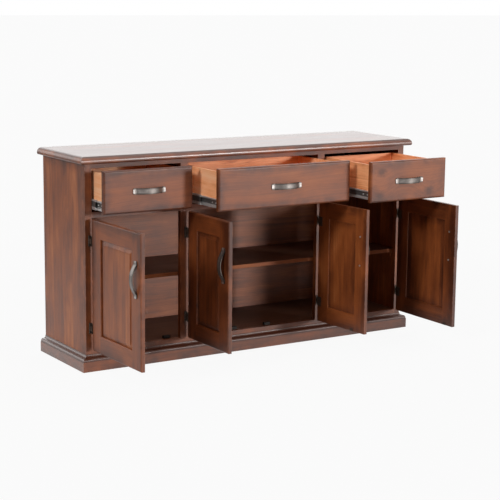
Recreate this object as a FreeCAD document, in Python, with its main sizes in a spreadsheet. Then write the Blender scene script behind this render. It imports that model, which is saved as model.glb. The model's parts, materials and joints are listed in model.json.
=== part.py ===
import FreeCAD, Part
import os
import re
import Sketcher

# A three-drawer, four-door pine buffet, in millimetres.
# +Z is up, the front faces -Y, and the origin is on the floor under the middle of the carcase.
# It is written as it stands with its drawers pulled out and its doors open.

document = FreeCAD.newDocument("buffet")
sheet = document.addObject("Spreadsheet::Sheet", "sizes")

sizes = {
    # carcase
    "overall_height": 900,
    "carcase_width": 1644,
    "carcase_depth": 410,
    "top_thick": 30,
    "top_overhang": 28,
    "top_round": 20,
    "top_under_round": 7,
    "side_thick": 20,
    "back_thick": 8,
    "frame_thick": 22,
    "stile_width": 31,
    "post_width": 36,
    "centre_opening": 672,
    "frieze_height": 20,
    "drawer_opening": 182,
    "drawer_rail_height": 23,
    "bottom_rail_height": 88,
    "floor_thick": 18,
    "deck_thick": 18,
    "shelf_level": 376,
    "shelf_thick": 18,
    "shelf_setback": 8,
    "shelf_round": 3,
    "cleat_size": 20,
    "bearer_width": 40,
    "packer_height": 60,
    # plinth
    "plinth_face": 43,
    "plinth_bead": 14,
    "plinth_rise": 13,
    "plinth_thick": 25,
    "plinth_cap": 2,
    "plinth_quirk": 2,
    "plinth_round": 10,
    # doors
    "door_thick": 18,
    "hinge_gap": 2.5,
    "free_gap": 2,
    "meeting_gap": 3,
    "door_end_gap": 2,
    "door_stile": 70,
    "door_rail": 70,
    "door_round": 5,
    "panel_thick": 5.5,
    "panel_recess": 9,
    "panel_raise": 4.5,
    "panel_bevel": 18,
    "panel_shoulder": 2,
    "bead_width": 5,
    "bead_round": 4,
    "back_bead_round": 3,
    "panel_play": 0.5,
    "groove_depth": 8,
    "door_1_angle": 89,
    "door_2_angle": 89.8,
    "door_3_angle": 93.5,
    "door_4_angle": 89.6,
    # hinges and catches
    "hinge_offset": 16,
    "pin_forward": 4,
    "hinge_height": 42,
    "hinge_inset": 92,
    "leaf_thick": 1.5,
    "leaf_play": 0.6,
    "leaf_margin": 3,
    "leaf_reach": 26,
    "knuckle_radius": 3.5,
    "knuckle_length": 20,
    "knuckle_play": 0.4,
    "pin_radius": 1.6,
    "pin_play": 0.05,
    "pin_head_radius": 2.6,
    "pin_head_height": 2,
    "strike_width": 20,
    "strike_height": 12,
    "strike_thick": 1.2,
    "catch_width": 30,
    "catch_depth": 15,
    "catch_height": 12,
    "catch_play": 0.6,
    "side_catch_inset": 56,
    "centre_catch_inset": 88,
    # drawers
    "drawer_gap": 2,
    "drawer_front_thick": 20,
    "drawer_round": 8,
    "box_side": 12,
    "box_low": 14,
    "box_headroom": 16,
    "box_back_gap": 22,
    "box_floor_thick": 6,
    "box_floor_level": 10,
    "drawer_1_out": 108,
    "drawer_2_out": 252,
    "drawer_3_out": 350,
    # drawer slides
    "slide_tail": 4,
    "slide_start": 2,
    "slide_height": 45,
    "slide_width": 12.7,
    "slide_lip": 9,
    "slide_gauge": 1.2,
    "slide_play": 0.4,
    "slide_return": 8,
    "slide_level": 34,
    # handles
    "handle_length": 150,
    "handle_spacing": 128,
    "handle_rise": 24,
    "handle_width": 25,
    "strap_thick": 3.5,
    "strap_reach": 61,
    "handle_corner": 6,
    "handle_lift": 89.5,
    "handle_inset": 40,
    "screw_radius": 2,
    "screw_head_radius": 4,
    "screw_head_height": 2,
}

# Places that follow from the sizes. Openings and joints are given by distance from the centre line.
places = {
    "front": "-carcase_depth / 2",
    "back": "carcase_depth / 2",
    "frame_back": "front + frame_thick",
    "panel_face": "back - back_thick",
    "half_width": "carcase_width / 2",
    "inside": "half_width - side_thick",
    "bay_outer": "half_width - stile_width",
    "bay_inner": "post_inner + post_width",
    "post_inner": "centre_opening / 2",
    "top_under": "overall_height - top_thick",
    "frieze_low": "top_under - frieze_height",
    "rail_top": "frieze_low - drawer_opening",
    "rail_low": "rail_top - drawer_rail_height",
    "deck_top": "rail_low + deck_thick",
    "floor_top": "bottom_rail_height",
    "floor_under": "floor_top - floor_thick",
    "plinth_nose": "plinth_face + plinth_bead",
    "plinth_height": "plinth_nose + plinth_rise",
    "plinth_cove": "plinth_thick - plinth_cap",
    "plinth_ledge": "plinth_cove - plinth_quirk",
    "shelf_under": "shelf_level - shelf_thick",
    "shelf_front": "frame_back + shelf_setback",
    "slide_middle": "rail_top + slide_level",
    "door_low": "floor_top + door_end_gap",
    "door_high": "rail_low - door_end_gap",
    "handle_level": "(door_low + door_high) / 2 + handle_lift",
    "door_face": "pin_forward",
    "door_inner": "door_face + door_thick",
    "door_edge": "hinge_offset + hinge_gap",
    "groove_face": "door_face + panel_recess",
    "groove_back": "groove_face + panel_thick",
    "strap_back": "pin_forward - leaf_thick - leaf_play",
    "strap_front": "strap_back - leaf_thick",
    "box_under": "rail_top + box_low",
    "box_top": "frieze_low - box_headroom",
    "box_front": "front + drawer_front_thick",
    "box_back": "panel_face - box_back_gap",
    "slide_front": "frame_back + slide_start",
    "slide_back": "box_back - slide_tail",
    "slide_step": "slide_gauge + slide_play",
    "half_handle": "handle_length / 2",
    "strap_rise": "handle_rise - strap_thick",
    "strap_inner": "strap_reach - strap_thick",
}

for row, (alias, value) in enumerate(sizes.items(), start=1):
    sheet.set(f"A{row}", alias)
    sheet.set(f"B{row}", str(value))
    sheet.setAlias(f"B{row}", alias)
document.recompute()

ruler = document.addObject("App::FeaturePython", "ruler")
ruler.addProperty("App::PropertyFloat", "reading")
nodes = []


def bound(expression):
    """Spell an expression out in the sheet's own cells."""
    def spell(match):
        word = match.group(0)
        if word in places:
            return f"({bound(places[word])})"
        if word in sizes:
            return f"sizes.{word}"
        return word
    return re.sub(r"[a-z][a-z0-9_]*", spell, expression)


def reading(expression):
    """The number that an expression comes to."""
    ruler.setExpression("reading", bound(expression))
    ruler.recompute()
    return ruler.reading


def place(thing, x="0", y="0", z="0", rotation=None, turn=None):
    """Put a thing at a point, at a fixed rotation, or turned by a size about the rotation's axis."""
    if rotation:
        thing.Placement = FreeCAD.Placement(FreeCAD.Vector(), rotation)
    for axis, expression in zip("xyz", (x, y, z)):
        if expression != "0":
            thing.setExpression(f"Placement.Base.{axis}", bound(expression))
    if turn:
        thing.setExpression("Placement.Rotation.Angle", bound(turn))
    return thing


def board(name, across, deep, tall):
    """A box given by its two limits along x, y and z."""
    box = document.addObject("Part::Box", name)
    for size, (low, high) in zip(("Length", "Width", "Height"), (across, deep, tall)):
        box.setExpression(size, bound(f"{high} - ({low})"))
    return place(box, across[0], deep[0], tall[0])


def rod(name, radius, length, x, y, z, rotation=None):
    """A cylinder that starts at a point."""
    cylinder = document.addObject("Part::Cylinder", name)
    cylinder.setExpression("Radius", bound(radius))
    cylinder.setExpression("Height", bound(length))
    return place(cylinder, x, y, z, rotation)


def join(kind, name, members):
    """Fuse or group several things."""
    thing = document.addObject(f"Part::{kind}", name)
    if kind == "Compound":
        thing.Links = members
    else:
        thing.Shapes = members
    return thing


def pair(kind, name, base, tool):
    """Cut a tool from a thing, or keep what the two share."""
    thing = document.addObject(f"Part::{kind}", name)
    thing.Base = base
    thing.Tool = tool
    return thing


def node(thing, label):
    """Hand a finished sub-part in under its own name."""
    thing.Label = label
    nodes.append(thing)
    return thing


def sided(side, low, high):
    """Limits along x that are mirrored for the right-hand side."""
    if side > 0:
        return low, high
    return f"-({high})", f"-({low})"


def outline(body, role, points, curves=None):
    """A closed outline on one of a body's own planes; a curve is a radius for the line after a point."""
    curves = curves or {}
    sketch = body.newObject("Sketcher::SketchObject", f"{body.Name}_outline")
    plane = [feature for feature in body.Origin.OriginFeatures if feature.Role == role][0]
    sketch.AttachmentSupport = [(plane, "")]
    sketch.MapMode = "FlatFace"
    spots = [FreeCAD.Vector(reading(across), reading(up), 0) for across, up in points]
    count = len(points)
    for index, start in enumerate(spots):
        finish = spots[(index + 1) % count]
        if index in curves:
            radius = reading(curves[index])
            half = (finish - start).Length / 2
            sagitta = FreeCAD.Vector(0, radius - (radius ** 2 - half ** 2) ** 0.5, 0)
            curve = Part.Arc(start, (start + finish) / 2 + sagitta, finish)
            sketch.addGeometry(curve)
        else:
            sketch.addGeometry(Part.LineSegment(start, finish))
    # An arc is stored anticlockwise, so one drawn from left to right over its top starts at its right end.
    turned = [index in curves and spots[index].x < spots[(index + 1) % count].x for index in range(count)]
    starts = [2 if back else 1 for back in turned]
    finishes = [1 if back else 2 for back in turned]
    for index in range(count):
        after = (index + 1) % count
        ends = (index, finishes[index], after, starts[after])
        sketch.addConstraint(Sketcher.Constraint("Coincident", *ends))
    for index, (across, up) in enumerate(points):
        spot = spots[index]
        for kind, value, expression in (("DistanceX", spot.x, across), ("DistanceY", spot.y, up)):
            number = sketch.addConstraint(Sketcher.Constraint(kind, -1, 1, index, starts[index], value))
            sketch.setExpression(f"Constraints[{number}]", bound(expression))
    for index, radius in curves.items():
        number = sketch.addConstraint(Sketcher.Constraint("Radius", index, reading(radius)))
        sketch.setExpression(f"Constraints[{number}]", bound(radius))
    return sketch


def padded(name, role, points, length, curves=None):
    """A body raised from one closed outline."""
    body = document.addObject("PartDesign::Body", name)
    sketch = outline(body, role, points, curves)
    pad = body.newObject("PartDesign::Pad", f"{name}_pad")
    pad.Profile = sketch
    pad.setExpression("Length", bound(length))
    sketch.Visibility = False
    document.recompute()
    return body


def rounded(body, radius, chosen):
    """Round the edges of a body whose bounds are chosen."""
    base = body.Tip
    names = [f"Edge{number}" for number, edge in enumerate(base.Shape.Edges, start=1)
             if chosen(edge.BoundBox)]
    fillet = body.newObject("PartDesign::Fillet", f"{body.Name}_round")
    fillet.Base = (base, names)
    fillet.setExpression("Radius", bound(radius))
    document.recompute()


def same(first, second):
    return abs(first - second) < 1e-4


def softened(name, base, radius, chosen):
    """Round the straight edges of a board whose bounds are chosen."""
    document.recompute()
    soft = document.addObject("Part::Fillet", name)
    soft.Base = base
    size = reading(radius)
    soft.Edges = [(number, size, size) for number, edge in enumerate(base.Shape.Edges, start=1)
                  if chosen(edge.BoundBox)]
    return soft


def at_face(face, across=(), up=()):
    """Choose the edges on a face at that y which run along one of these x or z limits."""
    level_y = reading(face)
    lines_x = [reading(limit) for limit in across]
    lines_z = [reading(limit) for limit in up]
    return lambda box: (same(box.YMin, level_y) and same(box.YMax, level_y)
                        and (any(same(box.XMin, x) and same(box.XMax, x) for x in lines_x)
                             or any(same(box.ZMin, z) and same(box.ZMax, z) for z in lines_z)))


# The top, moulded along its front and both ends.
top = padded("top", "XY_Plane",
             [("-half_width - top_overhang", "front - top_overhang"),
              ("half_width + top_overhang", "front - top_overhang"),
              ("half_width + top_overhang", "back"),
              ("-half_width - top_overhang", "back")],
             "top_thick")
top_back = reading("back")
top_level = reading("top_thick")
rounded(top, "top_round",
        lambda box: same(box.ZMin, top_level) and same(box.ZMax, top_level) and not same(box.YMin, top_back))
rounded(top, "top_under_round",
        lambda box: same(box.ZMin, 0) and same(box.ZMax, 0) and not same(box.YMin, top_back))
node(place(top, z="top_under"), "top_board")

# Sides, back, floor and shelf.
inner_span = ("-(inside)", "inside")
inner_deep = ("frame_back", "panel_face")
frame_deep = ("front", "frame_back")
bay_span = ("-(bay_outer)", "bay_outer")
for side, hand in ((-1, "left"), (1, "right")):
    across = sided(side, "inside", "half_width")
    node(board(f"side_{hand}", across, ("frame_back", "back"), ("0", "top_under")), f"side_{hand}")
    across = sided(side, "bay_outer", "half_width")
    node(board(f"stile_{hand}", across, frame_deep, ("0", "top_under")), f"stile_{hand}")
    across = sided(side, "post_inner", "bay_inner")
    node(board(f"post_{hand}", across, frame_deep, ("floor_top", "frieze_low")), f"post_{hand}")
    node(board(f"divider_{hand}", across, inner_deep, ("deck_top", "top_under")), f"divider_{hand}")
node(board("back", inner_span, ("panel_face", "back"), ("0", "top_under")), "back_panel")
node(board("floor", inner_span, inner_deep, ("floor_under", "floor_top")), "floor_board")
node(board("deck", inner_span, inner_deep, ("rail_low", "deck_top")), "drawer_deck")
shelf_deep = ("shelf_front", "panel_face")
shelf_tall = ("shelf_under", "shelf_level")
shelf_board = board("shelf_board", inner_span, shelf_deep, shelf_tall)
node(softened("shelf_soft", shelf_board, "shelf_round", at_face("shelf_front", (), shelf_tall)), "shelf")
node(board("bearer", ("-bearer_width / 2", "bearer_width / 2"), inner_deep, ("0", "floor_under")),
     "floor_bearer")

# The rest of the face frame.
node(board("frieze", bay_span, frame_deep, ("frieze_low", "top_under")), "frieze_rail")
node(board("bottom", bay_span, frame_deep, ("0", "floor_top")), "bottom_rail")
rail_spans = {
    "left": ("-(bay_outer)", "-(bay_inner)"),
    "centre": ("-(post_inner)", "post_inner"),
    "right": ("bay_inner", "bay_outer"),
}
rails = [board(f"drawer_rail_{hand}", across, frame_deep, ("rail_low", "rail_top"))
         for hand, across in rail_spans.items()]
node(join("Compound", "rails", rails), "drawer_rails")

# Cleats under the shelf and packers behind the outer drawer slides.
cleat_tall = ("shelf_under - cleat_size", "shelf_under")
cleats = [board("cleat_back", inner_span, ("panel_face - cleat_size", "panel_face"), cleat_tall)]
packers = []
for side, hand in ((-1, "left"), (1, "right")):
    across = sided(side, "inside - cleat_size", "inside")
    cleats.append(board(f"cleat_{hand}", across, ("shelf_front", "panel_face - cleat_size"), cleat_tall))
    tall = ("slide_middle - packer_height / 2", "slide_middle + packer_height / 2")
    packers.append(board(f"packer_{hand}", sided(side, "bay_outer", "inside"), inner_deep, tall))
node(join("Compound", "cleats", cleats), "shelf_cleats")
node(join("Compound", "packers", packers), "slide_packers")


def plinth_board(label, length, mitres):
    """A plinth board along x with its face at y = 0, mitred at the ends that are named.

    Its moulding is a round nose above a quirk, with a cove behind it up to the carcase.
    """
    profile = [("0", "0"), ("plinth_thick", "0"), ("plinth_thick", "plinth_height"),
               ("plinth_cove", "plinth_height"), ("plinth_cove", "plinth_nose"),
               ("plinth_quirk", "plinth_nose"), ("plinth_quirk", "plinth_face"), ("0", "plinth_face")]
    body = padded(f"{label}_profile", "YZ_Plane", profile, length)
    crest = reading("plinth_nose")
    curves = (reading("plinth_quirk"), reading("plinth_cove"))
    rounded(body, "min(plinth_round; 0.48 * plinth_ledge; 0.95 * plinth_bead; 0.95 * plinth_rise)",
            lambda box: same(box.ZMin, crest) and same(box.ZMax, crest) and same(box.YMin, box.YMax)
            and any(same(box.YMin, curve) for curve in curves))
    trim = document.addObject("Part::Wedge", f"{label}_trim")
    limits = {"Xmin": "0", "Xmax": length, "Ymin": "0", "Ymax": "plinth_thick",
              "Zmin": "0", "Zmax": "plinth_height", "Z2min": "0", "Z2max": "plinth_height",
              "X2min": "plinth_thick" if "start" in mitres else "0",
              "X2max": f"{length} - plinth_thick" if "finish" in mitres else length}
    for name, expression in limits.items():
        trim.setExpression(name, bound(expression))
    return node(pair("Common", f"{label}_board", body, trim), label)


about_z = FreeCAD.Vector(0, 0, 1)
plinth_front = plinth_board("plinth_front", "carcase_width + 2 * plinth_thick", ("start", "finish"))
place(plinth_front, "-half_width - plinth_thick", "front - plinth_thick")
plinth_left = plinth_board("plinth_left", "carcase_depth + plinth_thick", ("finish",))
place(plinth_left, "-half_width - plinth_thick", "back", rotation=FreeCAD.Rotation(about_z, -90))
plinth_right = plinth_board("plinth_right", "carcase_depth + plinth_thick", ("start",))
place(plinth_right, "half_width + plinth_thick", "front - plinth_thick",
      rotation=FreeCAD.Rotation(about_z, 90))

along_y = FreeCAD.Rotation(FreeCAD.Vector(1, 0, 0), -90)
strap_curve = "({0} ^ 2 + ({1}) ^ 2) / (2 * ({1}))"


def handle(name):
    """A bowed strap between two flat feet, along x, standing out along +y and centred on z = 0."""
    points = [("-half_handle", "0"), ("-(strap_inner)", "0"), ("strap_inner", "0"), ("half_handle", "0"),
              ("half_handle", "strap_thick"), ("strap_reach", "strap_thick"),
              ("-strap_reach", "strap_thick"), ("-half_handle", "strap_thick")]
    curves = {1: strap_curve.format("(strap_inner)", "strap_rise"),
              5: strap_curve.format("strap_reach", "strap_rise")}
    body = padded(name, "XY_Plane", points, "handle_width", curves)
    end = reading("half_handle")
    rounded(body, "handle_corner",
            lambda box: same(abs(box.XMin), end) and same(box.XMin, box.XMax) and same(box.ZMin, box.ZMax))
    return body


def screw(name, x, y, z, length):
    """A screw along -y, with its head at its start."""
    shank = rod(f"{name}_shank", "screw_radius", length, x, f"{y} - ({length})", z, along_y)
    head = rod(f"{name}_head", "screw_head_radius", "screw_head_height", x, y, z, along_y)
    return join("MultiFuse", name, [shank, head])


def drilled(name, base, spots, start, length):
    """A board with a screw hole along y at each spot."""
    holes = [rod(f"{name}_hole_{number}", "screw_radius", f"{length} + 2", x, f"{start} - 1", z, along_y)
             for number, (x, z) in enumerate(spots, start=1)]
    return pair("Cut", name, base, join("MultiFuse", f"{name}_holes", holes))


hinge_levels = ("door_high - hinge_inset", "door_low + hinge_inset")
hinge_tall = "hinge_height / 2"
knuckle_tall = "knuckle_length / 2"
frame_leaves = []
pins = []
catches = []


def level(middle, half):
    return f"{middle} - ({half})", f"{middle} + {half}"


def frame_leaf(name, side, middle):
    """The leaf on the face frame, with the two outer knuckles; x = 0 and y = 0 on the pin."""
    tall = level(middle, hinge_tall)
    plate = board(f"{name}_plate", sided(side, "0", "hinge_offset - leaf_margin"),
                  ("pin_forward - leaf_thick", "pin_forward"), tall)
    knuckle = rod(f"{name}_knuckle", "knuckle_radius", "hinge_height", "0", "0", tall[0])
    space = board(f"{name}_space",
                  sided(side, "-knuckle_radius - knuckle_play", "knuckle_radius + knuckle_play"),
                  ("-knuckle_radius - 1", "pin_forward + 1"),
                  level(middle, f"{knuckle_tall} + knuckle_play"))
    bore = rod(f"{name}_bore", "pin_radius + pin_play", "hinge_height + 2", "0", "0", f"{tall[0]} - 1")
    solid = join("MultiFuse", f"{name}_solid", [plate, knuckle])
    return pair("Cut", name, solid, join("MultiFuse", f"{name}_gaps", [space, bore]))


def hinge_pin(name, middle):
    """The loose pin, with a head at each end."""
    low, high = level(middle, hinge_tall)
    shank = rod(f"{name}_shank", "pin_radius", "hinge_height", "0", "0", low)
    foot = rod(f"{name}_foot", "pin_head_radius", "pin_head_height", "0", "0", f"{low} - pin_head_height")
    head = rod(f"{name}_head", "pin_head_radius", "pin_head_height", "0", "0", high)
    return join("MultiFuse", name, [shank, foot, head])


def door_leaf(name, side, middle):
    """The leaf on the door: a strap off the middle knuckle, round the edge and onto the inner face."""
    tall = level(middle, hinge_tall)
    strap_tall = level(middle, knuckle_tall)
    knuckle = rod(f"{name}_knuckle", "knuckle_radius", "knuckle_length", "0", "0", strap_tall[0])
    strap = board(f"{name}_strap", sided(side, "0", "door_edge"), ("strap_front", "strap_back"), strap_tall)
    edge = board(f"{name}_edge", sided(side, "door_edge - leaf_thick", "door_edge"),
                 ("strap_front", "door_inner + leaf_thick"), tall)
    plate = board(f"{name}_plate", sided(side, "door_edge - leaf_thick", "door_edge + leaf_reach"),
                  ("door_inner", "door_inner + leaf_thick"), tall)
    bore = rod(f"{name}_bore", "pin_radius + pin_play", "knuckle_length + 2", "0", "0",
               f"{strap_tall[0]} - 1")
    return pair("Cut", name, join("MultiFuse", f"{name}_solid", [knuckle, strap, edge, plate]), bore)


def bead(name, side, opening, deep, face, radius):
    """The rounded edge of a door frame round its panel, one bead deep on one face."""
    left, right, low, high = opening
    outer = board(f"{name}_outer", sided(side, left, right), deep, (low, high))
    across = sided(side, f"{left} + bead_width", f"{right} - bead_width")
    tall = (f"{low} + bead_width", f"{high} - bead_width")
    inner = board(f"{name}_inner", across, (f"{deep[0]} - 1", f"{deep[1]} + 1"), tall)
    return softened(name, pair("Cut", f"{name}_ring", outer, inner), radius, at_face(face, across, tall))


def door(number, side, hinge_x, width, catch_inset):
    """One framed door, written shut from its hinge pin, then swung open about the pin."""
    name = f"door_{number}"
    far = f"(door_edge + ({width}))"
    thick = ("door_face", "door_inner")
    tall = ("door_low", "door_high")
    groove = ("groove_face", "groove_back")
    left_edge = "(door_edge + door_stile)"
    right_edge = f"({far} - door_stile)"
    handle_x = f"{side} * ({far} - handle_inset)"
    spots = [(handle_x, f"handle_level {sign} handle_spacing / 2") for sign in "+-"]

    hinge_stile = board(f"{name}_hinge_stile", sided(side, "door_edge", left_edge), thick, tall)
    hinge_groove = board(f"{name}_hinge_groove",
                         sided(side, f"{left_edge} - groove_depth", f"{left_edge} + 1"), groove, tall)
    free_stile = board(f"{name}_free_stile", sided(side, right_edge, far), thick, tall)
    free_groove = board(f"{name}_free_groove",
                        sided(side, f"{right_edge} - 1", f"{right_edge} + groove_depth"), groove, tall)
    hinge_cut = pair("Cut", f"{name}_hinge_cut", hinge_stile, hinge_groove)
    free_cut = pair("Cut", f"{name}_free_cut", free_stile, free_groove)
    hinge_side = softened(f"{name}_hinge_side", hinge_cut, "door_round",
                          at_face("door_face", (f"{side} * (door_edge)",), tall))
    free_soft = softened(f"{name}_free_soft", free_cut, "door_round",
                         at_face("door_face", (f"{side} * {far}",), tall))
    members = [hinge_side, drilled(f"{name}_free_side", free_soft, spots, "door_face", "door_thick")]
    rail_limits = {
        "top": (("door_high - door_rail", "door_high"),
                ("door_high - door_rail + groove_depth", "door_high"),
                ("door_high - door_rail - 1", "door_high - door_rail + groove_depth")),
        "bottom": (("door_low", "door_low + door_rail"),
                   ("door_low", "door_low + door_rail - groove_depth"),
                   ("door_low + door_rail - groove_depth", "door_low + door_rail + 1")),
    }
    for end, (rail_tall, tenon_tall, groove_tall) in rail_limits.items():
        rail = board(f"{name}_{end}_rail", sided(side, left_edge, right_edge), thick, rail_tall)
        slot = board(f"{name}_{end}_slot", sided(side, f"{left_edge} - 1", f"{right_edge} + 1"),
                     groove, groove_tall)
        tenon = board(f"{name}_{end}_tenon",
                      sided(side, f"{left_edge} - groove_depth", f"{right_edge} + groove_depth"),
                      groove, tenon_tall)
        soft_rail = softened(f"{name}_{end}_soft", rail, "door_round", at_face("door_face", (), tall))
        members.append(join("MultiFuse", f"{name}_{end}",
                            [pair("Cut", f"{name}_{end}_grooved", soft_rail, slot), tenon]))

    panel_across = sided(side, f"{left_edge} - groove_depth + panel_play",
                         f"{right_edge} + groove_depth - panel_play")
    panel_tall = ("door_low + door_rail - groove_depth + panel_play",
                  "door_high - door_rail + groove_depth - panel_play")
    slab = board(f"{name}_slab", panel_across, groove, panel_tall)
    opening = (left_edge, right_edge, "door_low + door_rail", "door_high - door_rail")
    members.append(bead(f"{name}_bead", side, opening, ("door_face", "groove_face"), "door_face",
                        "bead_round"))
    members.append(bead(f"{name}_back_bead", side, opening, ("groove_back", "door_inner"), "door_inner",
                        "back_bead_round"))
    field = document.addObject("Part::Wedge", f"{name}_field")
    brink = sided(side, f"{left_edge} + bead_width", f"{right_edge} - bead_width")
    rise = "bead_width + panel_bevel"
    crown = sided(side, f"{left_edge} + {rise}", f"{right_edge} - ({rise})")
    crown_tall = (f"{opening[2]} + {rise}", f"{opening[3]} - ({rise})")
    limits = {"Xmin": crown[0], "Xmax": crown[1], "X2min": brink[0], "X2max": brink[1],
              "Ymin": "groove_face - panel_raise", "Ymax": "groove_face",
              "Zmin": crown_tall[0], "Zmax": crown_tall[1],
              "Z2min": f"{opening[2]} + bead_width", "Z2max": f"{opening[3]} - bead_width"}
    for limit, expression in limits.items():
        field.setExpression(limit, bound(expression))
    plateau = board(f"{name}_plateau", crown, ("groove_face - panel_raise - panel_shoulder", "groove_face"),
                    crown_tall)

    across_door = FreeCAD.Rotation(FreeCAD.Vector(1, 0, 1), 180)
    bow = place(handle(f"{name}_bow"), f"{handle_x} - handle_width / 2", "door_face", "handle_level",
                across_door)
    fixings = [screw(f"{name}_screw_{count}", x, "door_inner", z, "door_thick")
               for count, (x, z) in enumerate(spots, start=1)]
    strike_x = f"{far} - {catch_inset} + {'free_gap' if number in (1, 4) else 'meeting_gap / 2'}"
    strike_across = sided(side, f"{strike_x} - strike_width / 2", f"{strike_x} + strike_width / 2")
    strike = board(f"{name}_strike", strike_across, ("door_inner", "door_inner + strike_thick"),
                   ("door_low", "door_low + strike_height"))
    leaves = [door_leaf(f"{name}_leaf_{count}", side, middle)
              for count, middle in enumerate(hinge_levels, start=1)]

    pin_x = f"({hinge_x}) - ({side} * hinge_offset)"
    swing = FreeCAD.Rotation(FreeCAD.Vector(0, 0, -side), 90)
    for label, thing in ((f"{name}_frame", join("Compound", f"{name}_boards", members)),
                         (f"{name}_panel", join("MultiFuse", f"{name}_infill", [slab, field, plateau])),
                         (f"{name}_handle", join("Compound", f"{name}_pull", [bow] + fixings)),
                         (f"{name}_ironwork", join("Compound", f"{name}_fittings", leaves + [strike]))):
        node(place(thing, pin_x, "front - pin_forward", rotation=swing, turn=f"{name}_angle"), label)

    for count, middle in enumerate(hinge_levels, start=1):
        leaf = frame_leaf(f"frame_leaf_{number}_{count}", side, middle)
        pin = hinge_pin(f"pin_{number}_{count}", middle)
        for thing in (leaf, pin):
            place(thing, pin_x, "front - pin_forward")
        frame_leaves.append(leaf)
        pins.append(pin)
    catch_x = f"({pin_x}) + {side} * ({strike_x})"
    catches.append(board(f"catch_{number}", (f"{catch_x} - catch_width / 2", f"{catch_x} + catch_width / 2"),
                         ("front + door_thick + strike_thick + catch_play",
                          "front + door_thick + strike_thick + catch_play + catch_depth"),
                         ("floor_top", "floor_top + catch_height")))


side_width = "bay_outer - (bay_inner) - hinge_gap - free_gap"
centre_width = "post_inner - hinge_gap - meeting_gap / 2"
door(1, 1, "-(bay_outer)", side_width, "side_catch_inset")
door(2, 1, "-(post_inner)", centre_width, "centre_catch_inset")
door(3, -1, "post_inner", centre_width, "centre_catch_inset")
door(4, -1, "bay_outer", side_width, "side_catch_inset")
node(join("Compound", "leaves", frame_leaves), "hinge_frame_leaves")
node(join("Compound", "loose_pins", pins), "hinge_pins")
node(join("Compound", "magnets", catches), "magnet_catches")


def channel(name, wall, side, reach, half, web):
    """A length of folded slide; reach is measured from the wall, and the web is on its near or far side.

    One with its web on the far side, against the drawer, has its edges turned in again along its mouth.
    """
    near, far = reach
    hollows = {"near": [(f"{near} + slide_gauge", f"{far} + 1", "slide_gauge")],
               "far": [(f"{near} + slide_gauge", f"{far} - slide_gauge", "slide_gauge"),
                       (f"{near} - 1", f"{near} + slide_gauge + 1", "slide_return")]}

    def bar(tag, low, high, ends, tall):
        low_x, high_x = sided(side, low, high)
        return board(f"{name}_{tag}", (f"{wall} + ({low_x})", f"{wall} + ({high_x})"), ends,
                     level("slide_middle", tall))

    shape = bar("bar", near, far, ("slide_front", "slide_back"), half)
    for count, (low, high, edge) in enumerate(hollows[web], start=1):
        hollow = bar(f"hollow_{count}", low, high, ("slide_front - 1", "slide_back + 1"), f"{half} - {edge}")
        shape = pair("Cut", f"{name}_cut_{count}", shape, hollow)
    return shape


fixed_slides = []


def drawer(number, low, high):
    """One drawer with its slides, written shut, then pulled out."""
    name = f"drawer_{number}"
    out = f"-{name}_out"
    box_low = f"({low} + slide_width)"
    box_high = f"({high} - slide_width)"
    centre = f"(({low} + {high}) / 2)"
    middle = "(rail_top + drawer_opening / 2)"
    spots = [(f"{centre} {sign} handle_spacing / 2", middle) for sign in "+-"]
    through = "drawer_front_thick + box_side"

    face = board(f"{name}_face", (f"{low} + drawer_gap", f"{high} - drawer_gap"), ("front", "box_front"),
                 ("rail_top + drawer_gap", "frieze_low - drawer_gap"))
    soft_face = softened(f"{name}_soft_face", face, "drawer_round",
                         at_face("front", (f"{low} + drawer_gap", f"{high} - drawer_gap"),
                                 ("rail_top + drawer_gap", "frieze_low - drawer_gap")))
    front = drilled(f"{name}_drilled_face", soft_face, spots, "front", "drawer_front_thick")
    tall = ("box_under", "box_top")
    deep = ("box_front", "box_back")
    between = (f"{box_low} + box_side", f"{box_high} - box_side")
    boards = [board(f"{name}_left", (box_low, f"{box_low} + box_side"), deep, tall),
              board(f"{name}_right", (f"{box_high} - box_side", box_high), deep, tall),
              board(f"{name}_rear", between, ("box_back - box_side", "box_back"), tall)]
    inner_front = board(f"{name}_inner_front", between, ("box_front", "box_front + box_side"), tall)
    boards.append(drilled(f"{name}_drilled_end", inner_front, spots, "box_front", "box_side"))
    bottom = board(f"{name}_base", between,
                   (f"box_front + box_side {out}", f"box_back - box_side {out}"),
                   ("box_under + box_floor_level", "box_under + box_floor_level + box_floor_thick"))
    flat = FreeCAD.Rotation(FreeCAD.Vector(1, 0, 0), 180)
    bow = place(handle(f"{name}_bow"), centre, "front", f"{middle} + handle_width / 2", flat)
    fixings = [screw(f"{name}_screw_{count}", x, "box_front + box_side", z, through)
               for count, (x, z) in enumerate(spots, start=1)]
    slides = {"fixed": [], "middle": [], "inner": []}
    lift = "slide_height / 2"
    for side, wall in ((1, low), (-1, high)):
        tag = f"{name}_{'left' if side > 0 else 'right'}"
        slides["fixed"].append(channel(f"{tag}_fixed", wall, side, ("0", "slide_lip"), lift, "near"))
        slides["middle"].append(channel(f"{tag}_middle", wall, side,
                                        ("slide_step", "slide_lip + slide_gauge"),
                                        f"{lift} - slide_step", "near"))
        slides["inner"].append(channel(f"{tag}_inner", wall, side, ("2 * slide_step", "slide_width"),
                                       f"{lift} - 2 * slide_step", "far"))
    fixed_slides.extend(slides["fixed"])
    node(bottom, f"{name}_bottom")
    for label, thing, pull in ((f"{name}_front", front, out),
                               (f"{name}_box", join("Compound", f"{name}_boards", boards), out),
                               (f"{name}_handle", join("Compound", f"{name}_pull", [bow] + fixings), out),
                               (f"{name}_runners", join("Compound", f"{name}_inner", slides["inner"]), out),
                               (f"slide_middle_{number}",
                                join("Compound", f"{name}_middle", slides["middle"]), f"{out} / 2")):
        node(place(thing, y=pull), label)


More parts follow.
